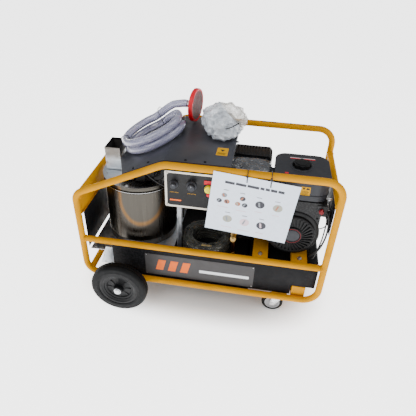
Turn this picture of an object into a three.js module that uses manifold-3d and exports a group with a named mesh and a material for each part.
// Engine-driven hot-water pressure washer on a tubular frame.
// Millimetres, +Z up. The origin is on the ground, midway between the frame's ends and sides.
// +X points to the engine end, and the operator's side, with the controls, faces -Y.
import * as THREE from 'three';
import { mergeVertices } from 'three/addons/utils/BufferGeometryUtils.js';
import Module from 'manifold-3d';

const wasm = await Module();
wasm.setup();

// ---------------------------------------------------------------- driving dimensions
const GAP = 0.3; // clearance left between pieces that touch

// Tubular frame: two closed side loops joined by cross members
const TUBE_R = 16.5;
const LOOP_Y = 272;
const END_X = 617;
const BOTTOM_Z = 135;
const MID_Z = 366;
const TOP_Z = 851;
const SHOULDER_X = -172;
const NOSE_Z = 642;
const RIGHT_CROSS_Z = 720;
const INNER_Y = LOOP_Y - TUBE_R - GAP; // free half width between the loops

// Base tray, deck and engine channels
const TRAY = { x0: -470, step: 480, x1: 598, y: 253, floor: 146, raised: 207, top: 345, wall: 3 };
const DECK_Z = 283;
const CHANNEL = { lefts: [266, 460], width: 76, top: 370, depth: 40, wall: 5 };

// Boiler
const BOILER = { x: -368, y: 0, r: 188, top: 628, wall: 4 };
const LID_Z = 656;
const FLUE = { x0: -540, x1: -459, y0: -32, y1: 88, top: 781, wall: 2 };

// Top cover, a sheet that follows the upper rails
const COVER = { x0: -452, notchX: -375, notchY: -45, x1: 127, y: 252, top: 866, sheet: 3, lip: 22 };
const SLOPE = (TOP_Z - NOSE_Z) / (SHOULDER_X + END_X);

// Control box
const PANEL = { x0: -173, x1: 127, y0: -250, y1: -140, z0: 617, z1: 812 };

// Engine: crankshaft along Y, recoil starter towards the operator
const CRANK = { x: 443, z: 503 };
const FAN_R = 131;
const FUEL_TANK = { x0: 322, x1: 578, y0: -190, y1: 60, z0: 692, z1: 800 };

// Belt drive to the pump
const PUMP = { x: 200, z: 455 };
const BELT = { y0: 152, y1: 182, crankR: 45, pumpR: 65, thick: 9 };

// Running gear
const WHEEL = { x: -403, y: 370, r: 150, half: 29.5, rim: 105, shaft: 10, facets: 28 };
const CASTER = { x: 401, y: 247, r: 57, half: 15, trail: 28, pin: 6 };

// Hoses, bag and card carried on the machine
const SUCTION = { r: 20, coilR: 150, x: -283, y: 57, rest: 2.2, lastTurn: [30, 215] };
const STRAINER = { x: -112, y: 190, r: 84, lift: 7, stub: 42, yaw: -10.5 };
const HP = { r: 8.5, x: 16, y: -120, meanR: 104, across: 3, layers: 5 };
const CARD = { w: 380, h: 312, thick: 1.2, tilt: 5.5, x: 246, top: 842 };

const DEG = Math.PI / 180;

// ---------------------------------------------------------------- finishes
const finish = (color, roughness, metalness) =>
  new THREE.MeshStandardMaterial({ color, roughness, metalness });
const YELLOW = finish(0xf5aa0a, 0.35, 0.0);
const BLACK_SHEET = finish(0x1c1d20, 0.5, 0.2);
const DARK_GREY = finish(0x46484e, 0.4, 0.6);
const GALVANISED = finish(0xb4bcc2, 0.4, 0.9);
const STAINLESS = finish(0x8a857c, 0.25, 1.0);
const BLACK_PLASTIC = finish(0x17181a, 0.5, 0.0);
const ENGINE_BLACK = finish(0x202124, 0.45, 0.3);
const ALUMINIUM = finish(0xcfcabf, 0.4, 0.7);
const BRASS = finish(0xb08a4a, 0.35, 0.9);
const RUBBER = finish(0x1b1b1c, 0.85, 0.0);
const ZINC = finish(0xc2c5c8, 0.35, 0.9);
const RED = finish(0xd8202c, 0.4, 0.0);
const SIGNAL_YELLOW = finish(0xe8d818, 0.4, 0.0);
const CLEAR_HOSE = finish(0xc4c2d8, 0.2, 0.0);
const FILM = finish(0xd4d8dc, 0.25, 0.0);
const CARD_WHITE = finish(0xe2e8f4, 0.4, 0.0);

// ---------------------------------------------------------------- geometry helpers
const group = new THREE.Group();

function add(name, geometry, material) {
  const mesh = new THREE.Mesh(geometry, material);
  mesh.name = name;
  group.add(mesh);
  return mesh;
}

// Closed geometry to a solid for cutting and joining, and back again
function toSolid(geometry) {
  const bare = geometry.clone();
  bare.deleteAttribute('normal');
  bare.deleteAttribute('uv');
  const merged = mergeVertices(bare, 1e-3);
  return new wasm.Manifold(new wasm.Mesh({
    numProp: 3,
    vertProperties: new Float32Array(merged.attributes.position.array),
    triVerts: new Uint32Array(merged.index.array),
  }));
}

function fromSolid(solid) {
  const mesh = solid.getMesh();
  const geometry = new THREE.BufferGeometry();
  geometry.setAttribute('position', new THREE.BufferAttribute(mesh.vertProperties, 3));
  geometry.setIndex(new THREE.BufferAttribute(mesh.triVerts, 1));
  return geometry;
}

function cut(geometry, ...tools) {
  const start = toSolid(geometry);
  return fromSolid(tools.reduce((solid, tool) => solid.subtract(toSolid(tool)), start));
}

function join(first, ...others) {
  return fromSolid(others.reduce((solid, other) => solid.add(toSolid(other)), toSolid(first)));
}

function block(x0, x1, y0, y1, z0, z1) {
  const geometry = new THREE.BoxGeometry(x1 - x0, y1 - y0, z1 - z0);
  return geometry.translate((x0 + x1) / 2, (y0 + y1) / 2, (z0 + z1) / 2);
}

// Turns local X, Y, Z to the row's axes so that local Z runs along the named axis
const BASES = {
  x: [[0, 1, 0], [0, 0, 1], [1, 0, 0]],
  y: [[1, 0, 0], [0, 0, 1], [0, -1, 0]],
  z: [[1, 0, 0], [0, 1, 0], [0, 0, 1]],
};

function orient(geometry, axis) {
  const basis = BASES[axis].map((v) => new THREE.Vector3(...v));
  return geometry.applyMatrix4(new THREE.Matrix4().makeBasis(...basis));
}

// Outline extruded along an axis. The outline is in (y, z) for x, (x, z) for y and (x, y) for z.
function slab(shape, axis, from, to, curveSegments = 6) {
  const geometry = new THREE.ExtrudeGeometry(shape, { depth: to - from, bevelEnabled: false, curveSegments });
  orient(geometry, axis);
  const shift = axis === 'y' ? to : from;
  return geometry.translate(axis === 'x' ? shift : 0, axis === 'y' ? shift : 0, axis === 'z' ? shift : 0);
}

function polygon(points) {
  return new THREE.Shape(points.map(([a, b]) => new THREE.Vector2(a, b)));
}

function roundedRect(a0, a1, b0, b1, r) {
  const shape = new THREE.Shape();
  shape.absarc(a1 - r, b0 + r, r, -Math.PI / 2, 0);
  shape.absarc(a1 - r, b1 - r, r, 0, Math.PI / 2);
  shape.absarc(a0 + r, b1 - r, r, Math.PI / 2, Math.PI);
  shape.absarc(a0 + r, b0 + r, r, Math.PI, 1.5 * Math.PI);
  return shape;
}

// Round bar along an axis; a and b are its place on the two other axes, in X, Y, Z order
function rod(axis, r, from, to, a, b, sides = 20) {
  const geometry = new THREE.CylinderGeometry(r, r, to - from, sides).rotateX(Math.PI / 2);
  orient(geometry, axis);
  const mid = (from + to) / 2;
  const place = { x: [mid, a, b], y: [a, mid, b], z: [a, b, mid] }[axis];
  return geometry.translate(...place);
}

// Turned piece: profile of [radius, height] pairs that closes on itself or on the axis
function turned(profile, axis, place, sides = 32) {
  const points = profile.map(([r, h]) => new THREE.Vector2(r, h));
  if (profile[0][0] > 0) points.push(points[0].clone());
  const geometry = new THREE.LatheGeometry(points, sides);
  if (axis === 'z') geometry.rotateX(Math.PI / 2);
  if (axis === 'x') geometry.rotateZ(-Math.PI / 2);
  return geometry.translate(...place);
}

// A path through given points, taking each as one step, for bent tubes and hoses
class BentPath extends THREE.Curve {
  constructor(points, closed = false) {
    super();
    this.points = points;
    this.closed = closed;
    this.steps = closed ? points.length : points.length - 1;
  }

  at(index) {
    const count = this.points.length;
    return this.points[this.closed ? (index + count) % count : Math.min(Math.max(index, 0), count - 1)];
  }

  getPoint(t) {
    return this.at(Math.round(t * this.steps)).clone();
  }

  getPointAt(t) {
    return this.getPoint(t);
  }

  getTangentAt(t) {
    const index = Math.round(t * this.steps);
    const back = this.at(index).clone().sub(this.at(index - 1)).normalize();
    const ahead = this.at(index + 1).clone().sub(this.at(index)).normalize();
    return back.add(ahead).normalize();
  }
}

function ringSection(r, sides) {
  const angles = Array.from({ length: sides }, (_, i) => (i / sides) * 2 * Math.PI);
  return new THREE.Shape(angles.map((a) => new THREE.Vector2(r * Math.cos(a), r * Math.sin(a))));
}

function tube(points, r, sides = 12) {
  const path = new BentPath(points);
  return new THREE.ExtrudeGeometry(ringSection(r, sides), { steps: path.steps, extrudePath: path });
}

// Points round a polygon whose corners [x, z, bend radius] are bent to arcs
function bentCorners(corners, y, arcSteps) {
  const points = [];
  corners.forEach(([x, z, radius], i) => {
    const here = new THREE.Vector2(x, z);
    const before = new THREE.Vector2(...corners.at(i - 1));
    const after = new THREE.Vector2(...corners[(i + 1) % corners.length]);
    const inward = before.sub(here).normalize();
    const onward = after.sub(here).normalize();
    const half = Math.acos(inward.dot(onward)) / 2;
    const centre = here.clone().add(inward.clone().add(onward).normalize().multiplyScalar(radius / Math.sin(half)));
    const start = here.clone().addScaledVector(inward, radius / Math.tan(half)).sub(centre);
    const end = here.clone().addScaledVector(onward, radius / Math.tan(half)).sub(centre);
    const turn = Math.atan2(start.cross(end), start.dot(end));
    for (let k = 0; k <= arcSteps; k += 1) {
      const spoke = start.clone().rotateAround(new THREE.Vector2(), (turn * k) / arcSteps).add(centre);
      points.push(new THREE.Vector3(spoke.x, y, spoke.y));
    }
  });
  return points;
}

// ---------------------------------------------------------------- frame
const LOOP_CORNERS = [
  [-END_X, BOTTOM_Z, 72],
  [END_X, BOTTOM_Z, 80],
  [END_X, TOP_Z, 80],
  [SHOULDER_X, TOP_Z, 110],
  [-END_X, NOSE_Z, 62],
];

function sideLoop(y, r = TUBE_R) {
  const points = bentCorners(LOOP_CORNERS, y, 5);
  return new THREE.TubeGeometry(new BentPath(points, true), points.length, r, 12, true);
}

const loopClearance = [-LOOP_Y, LOOP_Y].map((y) => sideLoop(y, TUBE_R + GAP));

// Cross tube coped to the two side loops
function crossTube(x, z) {
  return cut(rod('y', TUBE_R, -LOOP_Y, LOOP_Y, x, z, 12), ...loopClearance);
}

function addFrame() {
  for (const [side, y] of [['front', -LOOP_Y], ['rear', LOOP_Y]]) {
    add(`frame_loop_${side}`, sideLoop(y), YELLOW);
    add(`mid_rail_${side}`, cut(rod('x', TUBE_R, -END_X, END_X, y, MID_Z, 12), ...loopClearance), YELLOW);
  }
  add('cross_tube_right', crossTube(END_X, RIGHT_CROSS_Z), YELLOW);
  add('cross_tube_bottom', crossTube(-END_X + 21, BOTTOM_Z + 21), YELLOW);
  const nosePlate = block(-614, -611, -INNER_Y, INNER_Y, 512, 615);
  const noseTube = crossTube(-612, 618);
  add('cross_plate_left', cut(join(noseTube, nosePlate), ...loopClearance), YELLOW);
}

// Section of an open channel laid front to back, its flanges down
function channelOutline(x0, width, top, depth, wall) {
  return polygon([
    [x0, top - depth], [x0 + wall, top - depth], [x0 + wall, top - wall], [x0 + width - wall, top - wall],
    [x0 + width - wall, top - depth], [x0 + width, top - depth], [x0 + width, top], [x0, top],
  ]);
}

function addChannels() {
  const railClearance = [-LOOP_Y, LOOP_Y].map((y) => rod('x', TUBE_R + GAP, -END_X, END_X, y, MID_Z, 12));
  CHANNEL.lefts.forEach((x0, i) => {
    const outline = channelOutline(x0, CHANNEL.width, CHANNEL.top, CHANNEL.depth, CHANNEL.wall);
    const piece = slab(outline, 'y', -LOOP_Y, LOOP_Y);
    const outside = [-1, 1].map((s) => block(x0 - 1, x0 + CHANNEL.width + 1,
      Math.min(s * LOOP_Y, s * 400), Math.max(s * LOOP_Y, s * 400), 300, 400));
    const tips = [-1, 1].map((s) => block(x0 - 1, x0 + CHANNEL.width + 1,
      Math.min(s * 252.5, s * 300), Math.max(s * 252.5, s * 300), 300, 400));
    add(['engine_channel_left', 'engine_channel_right'][i], cut(piece, ...outside, ...tips, ...railClearance), YELLOW);
  });
  const stepX = TRAY.step + 6;
  const baseOutline = channelOutline(stepX, 69, TRAY.raised - GAP, TRAY.raised - GAP - BOTTOM_Z, 5);
  const caps = [[-INNER_Y, 5 - INNER_Y], [INNER_Y - 5, INNER_Y]]
    .map(([from, to]) => block(stepX, stepX + 69, from, to, BOTTOM_Z, TRAY.raised - GAP));
  add('base_channel', join(slab(baseOutline, 'y', -INNER_Y, INNER_Y), ...caps), YELLOW);
}

// ---------------------------------------------------------------- base tray, deck and panels
function trayOutline(inset, top) {
  return polygon([
    [TRAY.x0 + inset, TRAY.floor + inset], [TRAY.step - inset, TRAY.floor + inset],
    [TRAY.step - inset, TRAY.raised + inset], [TRAY.x1 - inset, TRAY.raised + inset],
    [TRAY.x1 - inset, top], [TRAY.x0 + inset, top],
  ]);
}

function addBase() {
  const outer = slab(trayOutline(0, TRAY.top), 'y', -TRAY.y, TRAY.y);
  const inner = slab(trayOutline(TRAY.wall, TRAY.top + 5), 'y', -TRAY.y + TRAY.wall, TRAY.y - TRAY.wall);
  const deckSlot = block(TRAY.x0 - 1, TRAY.x0 + 9, -TRAY.y + TRAY.wall, TRAY.y - TRAY.wall, DECK_Z - 3 - GAP, 400);
  const channelSlots = CHANNEL.lefts.map((x0) =>
    block(x0 - GAP, x0 + CHANNEL.width + GAP, -260, 260, CHANNEL.top - CHANNEL.depth - GAP, 400));
  add('base_tray', cut(outer, inner, deckSlot, ...channelSlots), BLACK_SHEET);
  const deckY = TRAY.y - TRAY.wall - GAP;
  add('deck', block(-592, 240, -deckY, deckY, DECK_Z - 3, DECK_Z), GALVANISED);

  // Burner fuel tank, stepped like the tray, with its filler at the engine end
  const tankY = 240;
  const body = slab(polygon([
    [252, 150], [474, 150], [474, 212], [592, 212], [592, 352], [540, 352], [540, 326], [252, 326],
  ]), 'y', -tankY, tankY);
  add('burner_fuel_tank', join(body, rod('z', 22, 340, 372, 566, 140)), BLACK_PLASTIC);
  const cap = [[0, 372.3], [30, 372.3], [30, 386], [26, 391], [0, 391]];
  add('burner_fuel_cap', turned(cap, 'z', [566, 140, 0], 24), BLACK_PLASTIC);

  add('end_panel_left', block(-611, -608, -228, 228, 276, 511), BLACK_SHEET);
  add('end_panel_right', block(606, 609, -228, 228, 540, RIGHT_CROSS_Z - TUBE_R - 1), BLACK_SHEET);
}

// ---------------------------------------------------------------- boiler and burner
function addBoiler() {
  const { x, y, r, top, wall } = BOILER;
  const floor = DECK_Z + GAP;
  add('boiler_shell', turned([
    [0, floor], [r, floor], [r, top - 10], [r + 4, top - 8], [r + 4, top], [r - wall, top],
    [r - wall, floor + wall], [0, floor + wall],
  ], 'z', [x, y, 0], 36), STAINLESS);
  const blastHole = 47;
  add('boiler_lid', turned([
    [blastHole, LID_Z - 8], [r - 8, LID_Z - 8], [r - 8, top + GAP], [r - 4, top + GAP],
    [r - 4, LID_Z - 8], [r + 5, LID_Z - 8], [r + 5, LID_Z], [blastHole, LID_Z],
  ], 'z', [x, y, 0], 32), GALVANISED);
  add('heating_coil', turned([[134, 310], [150, 310], [150, 600], [134, 600]], 'z', [x, y, 0], 24), STAINLESS);
  const flue = block(FLUE.x0, FLUE.x1, FLUE.y0, FLUE.y1, LID_Z + GAP, FLUE.top);
  const bore = block(FLUE.x0 + FLUE.wall, FLUE.x1 - FLUE.wall, FLUE.y0 + FLUE.wall, FLUE.y1 - FLUE.wall, 600, 900);
  add('flue_duct', cut(flue, bore), GALVANISED);
}

const BLOWER = { x: -262, z: 726, y0: -118, y1: -28, r: 62, wall: 5 };

function addBurner() {
  const { x, y } = BOILER;
  const { wall } = BLOWER;
  const blast = rod('z', 44, 560, 690, x, y);
  const flange = rod('z', 66, LID_Z + GAP, LID_Z + 10, x, y);
  const body = slab(roundedRect(-412, -300, -130, 60, 14), 'z', LID_Z + 4, 735, 3);
  const scroll = rod('y', BLOWER.r, BLOWER.y0, BLOWER.y1, BLOWER.x, BLOWER.z, 28);
  const outlet = block(-330, BLOWER.x, BLOWER.y0, BLOWER.y1, BLOWER.z - BLOWER.r, BLOWER.z - 4);
  const motor = rod('y', 42, BLOWER.y1 - 2, 70, BLOWER.x, BLOWER.z, 24);
  const cavity = rod('y', BLOWER.r - wall, BLOWER.y0 + wall, BLOWER.y1 - wall, BLOWER.x, BLOWER.z, 28);
  const inlet = rod('y', 36, BLOWER.y0 - 1, BLOWER.y0 + wall + 1, BLOWER.x, BLOWER.z, 20);
  add('burner_housing', cut(join(body, flange, blast, scroll, outlet, motor), cavity, inlet), BLACK_PLASTIC);
  const fanY = [BLOWER.y0 + wall + 4, BLOWER.y1 - wall - 4];
  add('burner_fan', turned([
    [0, 0], [50, 0], [50, fanY[1] - fanY[0]], [34, fanY[1] - fanY[0]], [34, 6], [0, 6],
  ].map(([r, h]) => [r, -h]).reverse(), 'y', [BLOWER.x, fanY[1], BLOWER.z], 24), ZINC);
}

// ---------------------------------------------------------------- top cover
function coverOutline(top, thick) {
  const low = top - (SHOULDER_X - COVER.x0) * SLOPE;
  return polygon([
    [COVER.x0, low - thick], [SHOULDER_X, top - thick], [COVER.x1, top - thick],
    [COVER.x1, top], [SHOULDER_X, top], [COVER.x0, low],
  ]);
}

function addCover() {
  const sheet = slab(coverOutline(COVER.top, COVER.sheet), 'y', -COVER.y, COVER.y);
  const lips = [-1, 1].map((s) => slab(coverOutline(COVER.top, COVER.lip), 'y',
    Math.min(s * COVER.y, s * (COVER.y - COVER.sheet)), Math.max(s * COVER.y, s * (COVER.y - COVER.sheet))));
  const hem = block(COVER.x1 - COVER.sheet, COVER.x1, -COVER.y, COVER.y, COVER.top - COVER.lip, COVER.top);
  const tab = block(COVER.x1 - 1, COVER.x1 + 11, -10, 8, COVER.top - 3, COVER.top);
  const notch = slab(polygon([
    [COVER.x0 - 1, -COVER.y - 1], [COVER.notchX, -COVER.y - 1], [COVER.notchX, -COVER.y],
    [COVER.x0, COVER.notchY], [COVER.x0 - 1, COVER.notchY],
  ]), 'z', BOILER.top, COVER.top);
  add('top_cover', cut(join(sheet, ...lips, hem, tab), notch), DARK_GREY);
}

// ---------------------------------------------------------------- control box
function addControls() {
  const { x0, x1, y0, y1, z0, z1 } = PANEL;
  const recess = 2;
  const box = slab(roundedRect(x0, x1, z0, z1, 8), 'y', y0, y1, 3);
  const face = slab(roundedRect(x0 + 11, x1 - 11, z0 + 11, z1 - 11, 6), 'y', y0 - 1, y0 + recess, 3);
  const post = block(-134, -111, y1 - 33, y1 - 10, DECK_Z + GAP, z0 + 5);
  const stop = { r: 19, x: 33, z: 738 };
  const reset = { r: 9, x: 33, z: 706 };
  const pockets = [stop, reset].map((b) => rod('y', b.r + GAP, y0, y0 + recess + 8, b.x, b.z, 20));
  add('control_box', join(cut(box, face, ...pockets), post), ALUMINIUM);

  const faceY = y0 + recess - GAP;
  const knob = (r, tall) => [[0, 0], [r, 0], [r, 6], [r * 0.72, 9], [r * 0.68, tall], [0, tall]]
    .map(([radius, h]) => [radius, -h]).reverse();
  add('knob_temperature', turned(knob(20, 24), 'y', [-129, faceY, 743], 20), BLACK_PLASTIC);
  add('knob_burner', turned(knob(25, 26), 'y', [-46, faceY, 743], 20), BLACK_PLASTIC);
  const button = (r, tall) => [[0, -tall], [r - 2, -tall], [r, -tall + 3], [r, 2], [0, 2]];
  add('stop_button', turned(button(stop.r, 18), 'y', [stop.x, faceY, stop.z], 20), SIGNAL_YELLOW);
  add('reset_button', turned(button(reset.r, 12), 'y', [reset.x, faceY, reset.z], 16), RED);
}

// ---------------------------------------------------------------- engine
function addEngine() {
  const base = CHANNEL.top + GAP;
  const sump = block(296, 540, -88, 96, base, base + 16);
  const crankcase = slab(roundedRect(352, 536, base + 6, 600, 40), 'y', -88, 96, 4);
  const cylinder = block(-100, 60, -78, 88, -55, 55).rotateY(22 * DEG).translate(335, 0, 575);
  const carburettor = block(214, 290, -98, -70, 640, 680);
  const shaftBore = rod('y', 13, 60, 100, CRANK.x, CRANK.z);
  add('engine_block', cut(join(sump, crankcase, cylinder, carburettor), shaftBore), ENGINE_BLACK);

  const fan = rod('y', FAN_R, -200, -88 - GAP, CRANK.x, CRANK.z, 36);
  const shoulder = slab(roundedRect(344, 560, CRANK.z, FUEL_TANK.z0 - 6, 16), 'y', -192, -88 - GAP, 3);
  const switchBox = block(534, 582, -196, -130, 618, 676);
  add('fan_housing', join(fan, shoulder, switchBox), ENGINE_BLACK);

  const cover = [[0, -222], [40, -222], [46, -218], [96, -214], [108, -206], [108, -200 - GAP], [0, -200 - GAP]];
  add('recoil_cover', turned(cover, 'y', [CRANK.x, 0, CRANK.z], 32), BLACK_PLASTIC);
  const grip = slab(roundedRect(300, 378, 604, 628, 10), 'y', -226, -200 - GAP, 3);
  add('recoil_handle', grip, BLACK_PLASTIC);

  const round = 22;
  const tankPlan = roundedRect(FUEL_TANK.x0 + round, FUEL_TANK.x1 - round, FUEL_TANK.y0 + round, FUEL_TANK.y1 - round, 24);
  const tank = new THREE.ExtrudeGeometry(tankPlan, {
    depth: FUEL_TANK.z1 - FUEL_TANK.z0 - 2 * round,
    bevelThickness: round,
    bevelSize: round,
    bevelSegments: 3,
    curveSegments: 4,
  }).translate(0, 0, FUEL_TANK.z0 + round);
  add('engine_fuel_tank', tank, BLACK_PLASTIC);
  const capZ = FUEL_TANK.z1 + GAP;
  const cap = [[0, capZ], [44, capZ], [44, capZ + 14], [36, capZ + 20], [0, capZ + 20]];
  add('engine_fuel_cap', turned(cap, 'z', [446, -58, 0], 24), BLACK_PLASTIC);

  add('muffler_guard', slab(roundedRect(108, 308, 32, 150, 22), 'z', 690, 784, 4), ENGINE_BLACK);
  add('air_cleaner', slab(roundedRect(108, 306, -118, 26, 26), 'z', 680 + GAP, 776, 4), BLACK_PLASTIC);

  const lever = join(
    turned([[0, -214], [11, -214], [11, -196 - GAP], [0, -196 - GAP]], 'y', [556, 0, 648], 16),
    block(552, 560, -214, -206, 648, 668),
  );
  add('engine_switch', lever, RED);
  const throttle = join(
    block(582 + GAP, 586, -160, -148, 620, 690),
    rod('x', 10, 582 + GAP, 588, -154, 632, 16),
    rod('x', 9, 582 + GAP, 598, -154, 690, 16),
  );
  add('throttle_lever', throttle, ZINC);
}

// ---------------------------------------------------------------- belt drive and pump
// Outline of a loop round the two pulleys, grown by a margin
function driveOutline(margin, steps = 12) {
  const r1 = BELT.crankR + margin;
  const r2 = BELT.pumpR + margin;
  const span = new THREE.Vector2(PUMP.x - CRANK.x, PUMP.z - CRANK.z);
  const heading = Math.atan2(span.y, span.x);
  const open = Math.acos((r1 - r2) / span.length());
  const arc = (cx, cz, r, from, to) => Array.from({ length: steps + 1 }, (_, i) => {
    const a = from + ((to - from) * i) / steps;
    return [cx + r * Math.cos(a), cz + r * Math.sin(a)];
  });
  return [
    ...arc(CRANK.x, CRANK.z, r1, heading + open, heading + 2 * Math.PI - open),
    ...arc(PUMP.x, PUMP.z, r2, heading - open, heading + open),
  ];
}

function loopShape(outer, inner) {
  const shape = polygon(outer);
  if (inner) shape.holes.push(polygon(inner));
  return shape;
}

function addDrive() {
  const { y0, y1, thick } = BELT;
  const pulley = (r, hub, start) => [
    [0, start], [hub, start], [hub, y0 - 6], [r + 8, y0 - 6], [r + 8, y0 - 3], [r, y0 - 3],
    [r, y1 + 3], [r + 8, y1 + 3], [r + 8, y1 + 6], [0, y1 + 6],
  ];
  add('crank_pulley', turned(pulley(BELT.crankR, 12.4, 70), 'y', [CRANK.x, 0, CRANK.z], 24), ZINC);
  add('pump_pulley', turned(pulley(BELT.pumpR, 12.4, 100), 'y', [PUMP.x, 0, PUMP.z], 24), ZINC);
  const belt = loopShape(driveOutline(thick - 1), driveOutline(0.8));
  add('drive_belt', slab(belt, 'y', y0, y1), RUBBER);
  const guardFrom = y0 - 10;
  const guardTo = y1 + 16;
  const shell = slab(loopShape(driveOutline(20)), 'y', guardFrom, guardTo);
  const inside = slab(loopShape(driveOutline(17)), 'y', guardFrom - 1, guardTo - 3);
  add('belt_guard', cut(shell, inside), BLACK_SHEET);

  const pumpCase = slab(roundedRect(150, 250, 400, 512, 14), 'y', -40, 126, 3);
  const stand = block(150, 250, -20, 110, DECK_Z + GAP, 404);
  const head = slab(roundedRect(146, 254, 404, 500, 8), 'y', -112, -38, 2);
  const ports = [392, 430, 468].map((z) => rod('x', 10, 128, 272, -76, z + 10, 12));
  const bore = rod('y', 13, 98, 127, PUMP.x, PUMP.z);
  add('pump', cut(join(pumpCase, stand, head, ...ports), bore), BRASS);
  const knob = [[0, 500.3], [9, 500.3], [9, 508], [19, 510], [19, 528], [0, 528]];
  add('unloader_knob', turned(knob, 'z', [176, -76, 0], 20), BLACK_PLASTIC);
}

// ---------------------------------------------------------------- running gear
function addWheels() {
  const { x, y, r, half, rim, shaft } = WHEEL;
  const plateY = LOOP_Y + TUBE_R + GAP;
  const hub = 38;
  const pieces = [block(x - 17, x + 17, -plateY - 8, plateY + 8, 96, BOTTOM_Z - TUBE_R - GAP)];
  for (const s of [-1, 1]) {
    const span = (a, b) => [Math.min(s * a, s * b), Math.max(s * a, s * b)];
    pieces.push(block(x - 27, x + 27, ...span(plateY, plateY + 8), 96, 178));
    pieces.push(rod('y', 15, ...span(plateY + 4, y - hub - GAP), x, r));
    pieces.push(rod('y', shaft, ...span(plateY + 4, y + hub + 8), x, r));
    pieces.push(rod('y', 17, ...span(y + hub + GAP, y + hub + 10), x, r, 6));
  }
  add('axle', join(...pieces), YELLOW);

  const rimProfile = [
    [shaft + GAP, -hub], [26, -hub], [28, -12], [66, -8], [74, -17], [95, -26], [rim, -26],
    [rim, 26], [88, 6], [28, 2], [26, hub], [shaft + GAP, hub],
  ];
  const tyreProfile = [
    [rim + GAP, -half + 1], [r - 12, -half], [r - 3, -half + 9], [r, -10],
    [r, 10], [r - 3, half - 9], [r - 12, half], [rim + GAP, half - 1],
  ];
  for (const [side, s] of [['front', -1], ['rear', 1]]) {
    const place = [x, s * y, r];
    const outward = (profile) => (s < 0 ? profile : profile.map(([a, h]) => [a, -h]).reverse());
    add(`wheel_rim_${side}`, turned(outward(rimProfile), 'y', place, WHEEL.facets), BLACK_PLASTIC);
    add(`wheel_tyre_${side}`, turned(outward(tyreProfile), 'y', place, WHEEL.facets), RUBBER);
  }
}

function addCasters() {
  const { x, y, r, half, trail, pin } = CASTER;
  const swivelX = x + trail;
  const plateZ = 131;
  const beam = block(swivelX - 40, swivelX + 40, -INNER_Y, INNER_Y, plateZ, plateZ + 12);
  const plates = [-y, y].map((py) => rod('z', 21, plateZ - 5, plateZ + 1, swivelX, py < 0 ? py + 14 : py - 14));
  add('caster_channel', join(beam, ...plates), YELLOW);
  for (const [side, py] of [['front', -y], ['rear', y]]) {
    const cy = py < 0 ? py + 14 : py - 14;
    const crown = block(swivelX - 27, swivelX + 27, cy - half - 6, cy + half + 6, r * 2 + 2, r * 2 + 5.5);
    const race = rod('z', 19, r * 2 + 5, plateZ - 5 - GAP, swivelX, cy);
    const leg = polygon([
      [x - 12, r - 12], [x + 12, r - 12], [swivelX + 27, r * 2 + 1], [swivelX + 27, r * 2 + 4],
      [swivelX - 27, r * 2 + 4], [x - 13, r + 14],
    ]);
    const legs = [-1, 1].map((s) => slab(leg, 'y', cy + s * (half + 4.5) - 1.5, cy + s * (half + 4.5) + 1.5));
    const axle = rod('y', pin, cy - half - 8, cy + half + 8, x, r, 16);
    add(`caster_fork_${side}`, join(crown, race, ...legs, axle), ZINC);
    const wheel = [
      [pin + GAP, -half], [18, -half], [20, -half + 5], [36, -half + 5], [38, -half], [r - 5, -half],
      [r, -half + 6], [r, half - 6], [r - 5, half], [pin + GAP, half],
    ];
    add(`caster_wheel_${side}`, turned(wheel, 'y', [x, cy, r], 24), RUBBER);
  }
}

// ---------------------------------------------------------------- hoses, bag and card
// A point on the coil that lies on the cover's slope: turn angle, radius and height off the sheet
function onSlope(angle, radius, height) {
  const tilt = Math.atan(SLOPE);
  const along = radius * Math.cos(angle);
  const sheet = COVER.top - (SHOULDER_X - SUCTION.x) * SLOPE;
  return new THREE.Vector3(
    SUCTION.x + along * Math.cos(tilt) - height * Math.sin(tilt),
    SUCTION.y + radius * Math.sin(angle),
    sheet + along * Math.sin(tilt) + height * Math.cos(tilt),
  );
}

function strainerPoint(along, side = 0, up = 0) {
  const yaw = STRAINER.yaw * DEG;
  return new THREE.Vector3(
    STRAINER.x + along * Math.cos(yaw) - side * Math.sin(yaw),
    STRAINER.y + along * Math.sin(yaw) + side * Math.cos(yaw),
    COVER.top + STRAINER.lift + STRAINER.r + up,
  );
}

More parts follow.
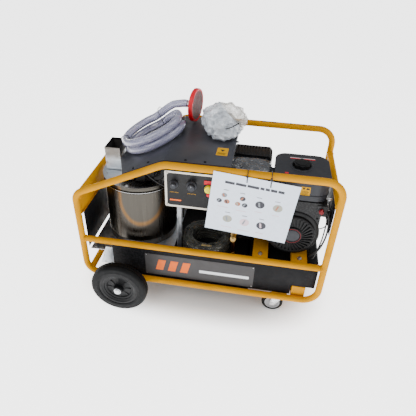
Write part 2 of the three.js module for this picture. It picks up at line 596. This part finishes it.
function addSuctionHose() {
  const { r, coilR, rest, lastTurn } = SUCTION;
  const layer = (low) => turned([
    [coilR - r, low], [coilR + r, low], [coilR + r, low + 2 * r], [coilR - r, low + 2 * r],
  ], 'z', [0, 0, 0], 32);
  const [open, close] = lastTurn;
  const steps = 6;
  const fan = Array.from({ length: steps + 1 }, (_, i) => (open + ((close - open) * i) / steps) * DEG);
  const gap = slab(polygon([[0, 0], ...fan.map((a) => [2 * coilR * Math.cos(a), 2 * coilR * Math.sin(a)])]),
    'z', rest + 2 * r, rest + 5 * r);
  const ring = join(layer(rest), cut(layer(rest + 2 * r), gap));
  const origin = onSlope(0, 0, 0);
  ring.rotateY(-Math.atan(SLOPE)).translate(origin.x, origin.y, origin.z);
  add('suction_hose_coil', ring, CLEAR_HOSE);

  // The hose goes on from the upper turn, lies on the lower one for a third of a turn, then runs to the strainer
  const over = rest + 3 * r + GAP;
  const points = [];
  for (let k = 0; k <= 9; k += 1) points.push(onSlope((close - 1.2 - k * 13) * DEG, coilR, over + k * 0.5));
  points.push(strainerPoint(-130, 6, -22), strainerPoint(-86, 1, -6));
  const curve = new THREE.CatmullRomCurve3(points, false, 'centripetal');
  const end = strainerPoint(-STRAINER.stub - GAP);
  const mouth = strainerPoint(-STRAINER.stub - 18);
  add('suction_hose_lead', tube([...curve.getPoints(28), mouth, end], r, 10), CLEAR_HOSE);

  const disc = turned([
    [0, -STRAINER.stub], [17, -STRAINER.stub], [17, -13], [STRAINER.r - 6, -13], [STRAINER.r, -7], [STRAINER.r, 10],
    [STRAINER.r - 5, 14], [0, 14],
  ], 'x', [0, 0, 0], 32);
  const centre = strainerPoint(0);
  disc.rotateZ(STRAINER.yaw * DEG).translate(centre.x, centre.y, centre.z);
  add('suction_strainer', disc, RED);
}

function addPressureHose() {
  const half = HP.r * HP.across;
  const low = DECK_Z + GAP + 1;
  const high = low + 2 * HP.r * HP.layers;
  add('pressure_hose_coil', turned([
    [HP.meanR - half, low], [HP.meanR + half, low], [HP.meanR + half, high], [HP.meanR - half, high],
  ], 'z', [HP.x, HP.y, 0], 32), RUBBER);
}

function addBagAndCard() {
  const bag = new THREE.SphereGeometry(1, 16, 10).scale(122, 128, 80).translate(52, 98, 928);
  add('accessory_bag', cut(bag, block(-200, 300, -200, 300, 700, COVER.top + GAP)), FILM);

  const { w, h, thick, tilt, x, top } = CARD;
  const cardY = -LOOP_Y - TUBE_R - 3.6;
  const sheet = block(-w / 2, w / 2, cardY - thick, cardY, -h, 0).rotateY(tilt * DEG).translate(x, 0, top);
  const ties = [204, 307].map((tx) => {
    const loop = turned([[18, -2.5], [20, -2.5], [20, 2.5], [18, 2.5]], 'x', [tx, -LOOP_Y, TOP_Z], 20);
    return join(loop, block(tx - 2.5, tx + 2.5, cardY - 2.4, cardY + 1.6, 816, TOP_Z));
  });
  add('instruction_card', join(sheet, ...ties), CARD_WHITE);
}

addFrame();
addChannels();
addBase();
addBoiler();
addBurner();
addCover();
addControls();
addEngine();
addDrive();
addWheels();
addCasters();
addSuctionHose();
addPressureHose();
addBagAndCard();

export default group;
